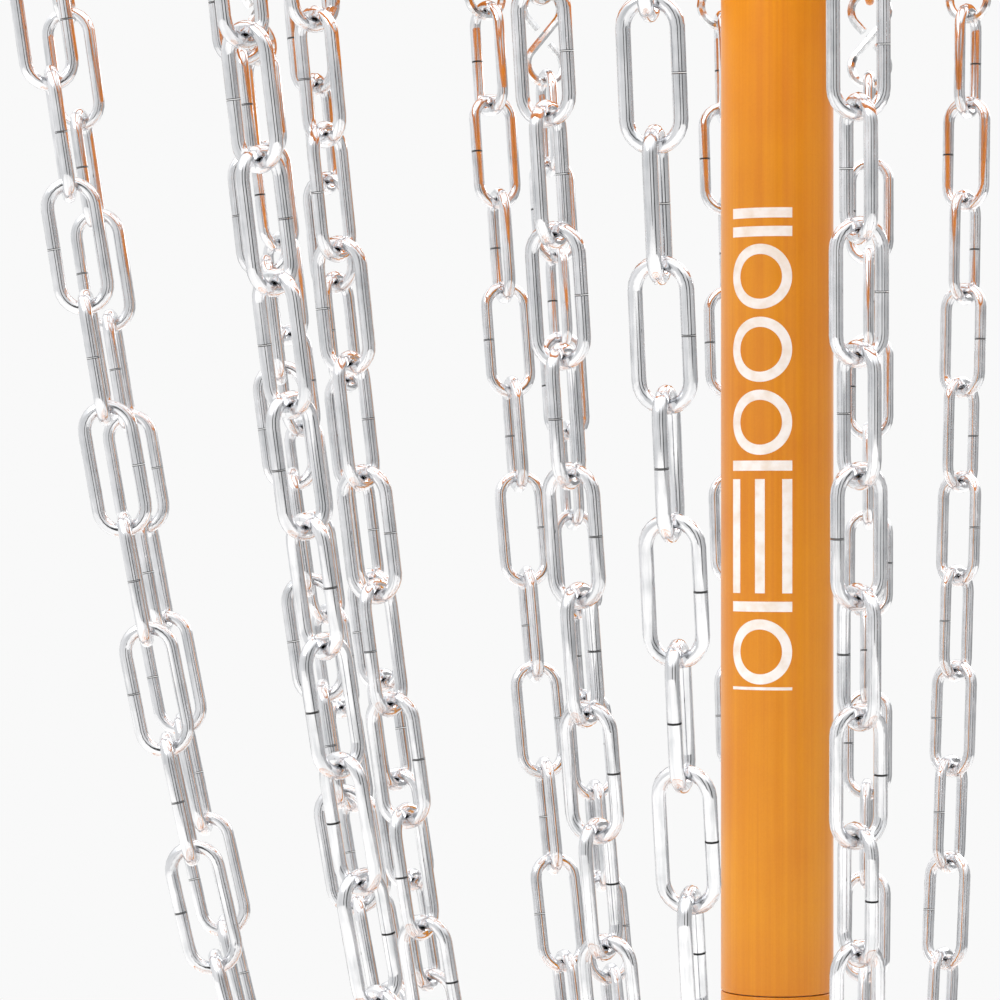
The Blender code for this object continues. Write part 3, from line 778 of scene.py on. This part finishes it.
def build_links():
    """A node tree that threads a link between each two neighbouring points of a row."""
    tree = bpy.data.node_groups.new("links_along_a_strand", "GeometryNodeTree")
    face = tree.interface
    face.new_socket("Geometry", in_out="INPUT", socket_type="NodeSocketGeometry")
    names = {}
    for name, kind in (("Wire", "Float"), ("Inner Length", "Float"), ("Outer Width", "Float"),
                       ("Azimuth", "Float"), ("Turn", "Float"), ("End Turn", "Float"), ("Last", "Int"),
                       ("Scatter", "Float"), ("Seed", "Int"), ("Finish", "Material")):
        names[name] = face.new_socket(name, in_out="INPUT", socket_type="NodeSocket" + kind).identifier
    face.new_socket("Geometry", in_out="OUTPUT", socket_type="NodeSocketGeometry")
    given = add_node(tree, "NodeGroupInput").outputs

    def math_node(operation, *values):
        return math_value(tree, operation, *values)

    # The wire's route: from the butt joint in the middle of one side, round both ends and back.
    half_width = math_node("MULTIPLY", math_node("SUBTRACT", given["Outer Width"], given["Wire"]), 0.5)
    half_length = math_node("MULTIPLY", math_node("ADD", given["Inner Length"], given["Wire"]), 0.5)
    left = math_node("MULTIPLY", half_width, -1.0)
    under = math_node("MULTIPLY", half_length, -1.0)
    corners = ((half_width, 0.00012), (half_width, half_length), (left, half_length),
               (left, under), (half_width, under), (half_width, -0.00012))
    route = add_node(tree, "GeometryNodeIndexSwitch", data_type="VECTOR")
    while len(route.index_switch_items) < len(corners):
        route.index_switch_items.new()
    for i, (across, up) in enumerate(corners):
        spot = add_node(tree, "ShaderNodeCombineXYZ", {"X": across, "Z": up})
        tree.links.new(spot.outputs[0], route.inputs[i + 1])
    index = add_node(tree, "GeometryNodeInputIndex").outputs[0]
    tree.links.new(index, route.inputs["Index"])
    line = add_node(tree, "GeometryNodeCurvePrimitiveLine")
    line = add_node(tree, "GeometryNodeResampleCurve", {"Curve": line.outputs[0], "Count": len(corners)})
    line = add_node(tree, "GeometryNodeSetPosition",
                    {"Geometry": line.outputs[0], "Position": route.outputs[0]})
    line = add_node(tree, "GeometryNodeFilletCurve", {"Curve": line.outputs[0], "Radius": half_width,
                                                      "Limit Radius": True, "Count": 6}, mode="POLY")
    travel = add_node(tree, "GeometryNodeSplineParameter").outputs["Length"]
    route_kept = store(tree, line.outputs[0], "wire_travel", travel)
    share = add_node(tree, "GeometryNodeSplineParameter").outputs["Factor"]
    joint = math_node("ABSOLUTE", math_node("MULTIPLY_ADD", share, 2.0, -1.0))
    route_kept = store(tree, route_kept, "wire_joint", joint)
    section = add_node(tree, "GeometryNodeCurvePrimitiveCircle",
                       {"Resolution": 10, "Radius": math_node("MULTIPLY", given["Wire"], 0.5)})
    where = add_node(tree, "GeometryNodeInputPosition").outputs[0]
    section_kept = store(tree, section.outputs[0], "wire_section", where, "FLOAT_VECTOR")
    link = add_node(tree, "GeometryNodeCurveToMesh",
                    {"Curve": route_kept, "Profile Curve": section_kept, "Fill Caps": True})
    link = add_node(tree, "GeometryNodeMergeByDistance", {"Geometry": link.outputs[0], "Distance": 1e-6})

    # One link on each edge of the row: its long axis along the edge, every second one a quarter turn on.
    ends = add_node(tree, "GeometryNodeInputMeshEdgeVertices").outputs
    along = add_node(tree, "ShaderNodeVectorMath", {0: ends["Position 1"], 1: ends["Position 2"]},
                     operation="SUBTRACT").outputs[0]
    kept = store(tree, given["Geometry"], "link_way", along, "FLOAT_VECTOR", "EDGE")
    spots = add_node(tree, "GeometryNodeMeshToPoints", {"Mesh": kept}, mode="EDGES")
    way = add_node(tree, "GeometryNodeInputNamedAttribute", {"Name": "link_way"}, data_type="FLOAT_VECTOR")
    odd = math_node("MODULO", index, 2.0)
    quarter = math_node("MULTIPLY", odd, math.pi / 2)
    last = math_node("SUBTRACT", given["Last"], index)
    near = math_node("MINIMUM", index, last)
    ease = remap(tree, near, 0.0, 3.0, interpolation_type="SMOOTHSTEP")
    settle = remap(tree, last, 0.0, 9.0, 1.0, 0.0, interpolation_type="SMOOTHSTEP")
    turn = math_node("MULTIPLY_ADD", given["End Turn"], settle, math_node("MULTIPLY", given["Turn"], ease))
    spread = math_node("MULTIPLY", given["Scatter"], -1.0)
    shake = add_node(tree, "FunctionNodeRandomValue",
                     {"Min": spread, "Max": given["Scatter"], "ID": index, "Seed": given["Seed"]},
                     data_type="FLOAT")
    side = add_node(tree, "FunctionNodeRandomValue",
                    {"Probability": 0.35, "ID": index, "Seed": given["Seed"]}, data_type="BOOLEAN")
    half_turn = math_node("MULTIPLY", side.outputs["Value"], math.pi)
    roll = math_node("ADD", math_node("ADD", given["Azimuth"], quarter), math_node("ADD", turn, half_turn))
    roll = math_node("ADD", roll, shake.outputs["Value"])
    wide = add_node(tree, "ShaderNodeCombineXYZ",
                    {"X": math_node("COSINE", roll), "Y": math_node("SINE", roll)})
    rotation = add_node(tree, "FunctionNodeAxesToRotation",
                        {"Primary Axis": way.outputs["Attribute"], "Secondary Axis": wide.outputs[0]},
                        primary_axis="Z", secondary_axis="X")
    strand = add_node(tree, "GeometryNodeInstanceOnPoints",
                      {"Points": spots.outputs[0], "Instance": link.outputs[0],
                       "Rotation": rotation.outputs[0]})
    tone = add_node(tree, "FunctionNodeRandomValue", {"Seed": given["Seed"]}, data_type="FLOAT")
    toned = store(tree, strand.outputs[0], "link_tone", tone.outputs["Value"], domain="INSTANCE")
    real = add_node(tree, "GeometryNodeRealizeInstances", {"Geometry": toned})
    coated = add_node(tree, "GeometryNodeSetMaterial",
                      {"Geometry": real.outputs[0], "Material": given["Finish"]})
    add_node(tree, "NodeGroupOutput", {0: coated.outputs[0]})
    return tree, names


def wire_place(tree):
    """Coordinates that follow a link's wire: across its section in X and Y, along it in Z."""
    section = add_node(tree, "ShaderNodeAttribute", attribute_name="wire_section")
    travel = add_node(tree, "ShaderNodeAttribute", attribute_name="wire_travel")
    tone = add_node(tree, "ShaderNodeAttribute", attribute_name="link_tone")
    flat = add_node(tree, "ShaderNodeSeparateXYZ", {0: section.outputs["Vector"]})
    shifted = math_value(tree, "MULTIPLY_ADD", tone.outputs["Fac"], 3.0, travel.outputs["Fac"])
    return add_node(tree, "ShaderNodeCombineXYZ", {"X": flat.outputs["X"], "Y": flat.outputs["Y"],
                                                   "Z": shifted}).outputs[0]


# Bright zinc on drawn wire: lines about two millimetres apart run along it and break the shine.
chain_zinc = make_zinc("bright_zinc_on_drawn_wire", wire_place, "#F0F0F2", "#C4C6C9",
                       0.0020, 0.022, 0.06, 0.15)

# The butt joint of each link is a dark slit, tarnished for a quarter of a millimetre on each side.
tree = chain_zinc.node_tree
shader = tree.nodes["Principled BSDF"]
joint = add_node(tree, "ShaderNodeAttribute", attribute_name="wire_joint")
slit = remap(tree, joint.outputs["Fac"], 0.9945, 0.9965)
clean = shader.inputs["Base Color"].links[0].from_socket
feed(tree, shader, Base_Color=blend(tree, slit, clean, linear("#4A4A4B")))


def hanging_curve(span, drop, length, stops):
    """Points (in, down) of a chain that hangs over span and drop, at lengths along it."""
    slack = math.sqrt(length * length - drop * drop)
    least, most = span / 200, span * 200
    for _ in range(200):
        size = (least + most) / 2
        if 2 * size * math.sinh(span / (2 * size)) > slack:
            least = size
        else:
            most = size
    start = (2 * size * math.atanh(drop / length) + span) / 2
    start_length = size * math.sinh(start / size)
    points = []
    for stop in stops:
        across = size * math.asinh((start_length - stop) / size)
        points.append((start - across, size * (math.cosh(start / size) - math.cosh(across / size))))
    return points


def strand_points(ring_radius, ring_height, end_radius, end_height, azimuth, count):
    """Where a strand's links touch, from the hook's lower loop to its collector ring."""
    drop = ring_height - end_height
    length = HOOK_REACH + count * LINK_PITCH - COLLECTOR_WIRE / 2
    stops = [HOOK_REACH + LINK_PITCH * i for i in range(count + 1)]
    points = []
    for inward, down in hanging_curve(ring_radius - end_radius, drop, length, stops):
        point = polar(ring_radius - inward, azimuth, ring_height - down)
        point.x += collector_drift * down / drop
        points.append(point)
    return points


def s_hook(ring_point, first_contact, azimuth):
    """A closed S-hook from inside its eye to the first link, in the plane round the ring."""
    loop = (LINK_WIDTH - 0.0009 - HOOK_WIRE) / 2
    upper = 0.008 - HOOK_WIRE / 2 + loop
    lower = HOOK_REACH + HOOK_WIRE / 2 - loop
    middle = (upper + lower) / 2
    reach = middle - upper
    lean = math.asin(loop / reach)
    half = []
    tip = 0.0037
    half.append((tip * math.sin(lean), middle - tip * math.cos(lean)))
    first = math.pi / 2 - lean
    for k in range(21):
        angle = first + (math.tau - 2 * first) * k / 20
        half.append((loop * math.sin(angle), upper + loop * math.cos(angle)))
    path = half + [(-x, 2 * middle - z) for x, z in reversed(half)]
    down = (first_contact - ring_point).normalized()
    around = polar(1.0, azimuth + 90.0, 0.0)
    return wire([ring_point + around * x + down * z for x, z in path], HOOK_WIRE / 2, False, 2)


links_tree, LINKS = build_links()
# How far each strand's middle is turned from lying square to the pole, in degrees.
TURNS = {"outer": (0, 0, 0, 0, 0, 6, -17, -4, -6, 0, 0, 0),
         "inner": (0, 0, -15, -3, -20, 0, 0, 28, 0, 24, 0, 0)}
# The inner strands have an even number of links, so their lower half takes up a quarter turn.
for row, radius, height, start, end_radius, end_height, count in (
        ("outer", OUTER_RING_RADIUS, outer_height, OUTER_START, OUTER_COLLECTOR_RADIUS, outer_end, 19),
        ("inner", INNER_RING_RADIUS, inner_height, INNER_START, INNER_COLLECTOR_RADIUS, inner_end, 18)):
    for i in range(12):
        name = f"{row}_chain_{i + 1:02d}"
        azimuth = start + 30.0 * i
        contacts = strand_points(radius, height, end_radius, end_height, azimuth, count)
        row_mesh = bpy.data.meshes.new("row")
        row_mesh.from_pydata(contacts, [(k, k + 1) for k in range(count)], [])
        links = run_tree(row_mesh, links_tree, {
            LINKS["Wire"]: LINK_WIRE, LINKS["Inner Length"]: LINK_PITCH, LINKS["Outer Width"]: LINK_WIDTH,
            LINKS["Azimuth"]: math.radians(azimuth), LINKS["Turn"]: math.radians(TURNS[row][i]),
            LINKS["End Turn"]: math.pi / 2 * (1 - count % 2), LINKS["Last"]: count - 1,
            LINKS["Scatter"]: math.radians(4.0), LINKS["Seed"]: 31 * i + (7 if row == "outer" else 19),
            LINKS["Finish"]: chain_zinc})
        place_piece(name + "_links", links, chain_zinc, name, [name], 50.0)
        hook = s_hook(polar(radius, azimuth, height), contacts[0], azimuth)
        place_piece(name + "_hook", hook, zinc_plate, name)

# Collector rings: each one turn of 8 mm rod, butt-welded and zinc-plated, through its strands' last links.
for row, radius, height in (("outer", OUTER_COLLECTOR_RADIUS, outer_end),
                            ("inner", INNER_COLLECTOR_RADIUS, inner_end)):
    collector = welded_hoop(radius, height, COLLECTOR_WIRE, 96, 3, 200.0, 1.6, [0.97, 1.06, 0.97])
    collector.transform(Matrix.Translation((collector_drift, 0, 0)))
    place_piece(row + "_collector_rod", collector, zinc_plate, row + "_collector",
                [row + "_collector_ring"])

# ---------------------------------------------------------------- Floor and light
# A plain pale floor, and a white studio: bright at the back and from above, softer and darker at
# the right of the front, which gives round metal its dark lines.
floor_finish, tree, shader = new_finish("pale_matt_floor", Base_Color=linear("#EFEEEC"), Roughness=0.7)
grain = noise(tree, object_place(tree), 0.4, 2.0)
feed(tree, shader, Base_Color=blend(tree, grain, linear("#ECEBE9"), linear("#F2F1EF")))
bm = bmesh.new()
bmesh.ops.create_circle(bm, cap_ends=True, segments=96, radius=4.5)
floor_mesh = bpy.data.meshes.new("floor")
bm.to_mesh(floor_mesh)
bm.free()
floor_mesh.materials.append(floor_finish)
floor_piece = bpy.data.objects.new("floor", floor_mesh)
floor_piece.location.z = -0.0002
bpy.context.scene.collection.objects.link(floor_piece)

world = bpy.data.worlds.new("studio")
bpy.context.scene.world = world
world.use_nodes = True
tree = world.node_tree
background = tree.nodes["Background"]
towards = add_node(tree, "ShaderNodeTexCoord").outputs["Generated"]
way = add_node(tree, "ShaderNodeSeparateXYZ", {0: towards}).outputs
front = math_value(tree, "MULTIPLY", way["Y"], -1.0)
bearing = math_value(tree, "ARCTAN2", way["X"], front)
share = math_value(tree, "MULTIPLY_ADD", bearing, 1 / math.tau, 0.5)
walls = add_node(tree, "ShaderNodeValToRGB", {"Fac": share})
# Round the room from behind, by the left, the front and the right, to behind again.
tones = ((0.0, 1.0), (0.20, 1.0), (0.34, 0.95), (0.474, 0.88), (0.486, 0.03), (0.506, 0.03), (0.518, 0.86),
         (0.592, 0.78), (0.605, 0.05), (0.630, 0.06), (0.65, 0.66), (0.78, 0.54), (0.87, 0.32), (0.915, 0.98),
         (1.0, 1.0))
stops = walls.color_ramp.elements
while len(stops) < len(tones):
    stops.new(0.5)
for stop, (where, tone) in zip(stops, tones):
    stop.position = where
    stop.color = (tone, tone, tone, 1.0)
above = remap(tree, way["Z"], 0.25, 0.75, interpolation_type="SMOOTHSTEP")
room = blend(tree, above, walls.outputs[0], (1.7, 1.7, 1.7, 1.0))
seen = add_node(tree, "ShaderNodeLightPath").outputs["Is Camera Ray"]
tree.links.new(blend(tree, seen, room, linear("#F9F9F9")), background.inputs["Color"])
background.inputs["Strength"].default_value = 1.0


def soft_light(name, place, target, size, power):
    """A square area light that looks at a point."""
    lamp = bpy.data.lights.new(name, "AREA")
    lamp.shape = "SQUARE"
    lamp.size = size
    lamp.energy = power
    made = bpy.data.objects.new(name, lamp)
    made.location = place
    made.rotation_euler = (Vector(target) - Vector(place)).to_track_quat("-Z", "Y").to_euler()
    bpy.context.scene.collection.objects.link(made)


soft_light("key_from_upper_left", (-1.6, -1.7, 2.9), (0, 0, 1.0), 1.2, 24.0)
soft_light("rim_from_behind", (1.5, 1.9, 2.4), (0, 0, 1.0), 1.4, 20.0)
bpy.context.scene.view_settings.view_transform = "Standard"
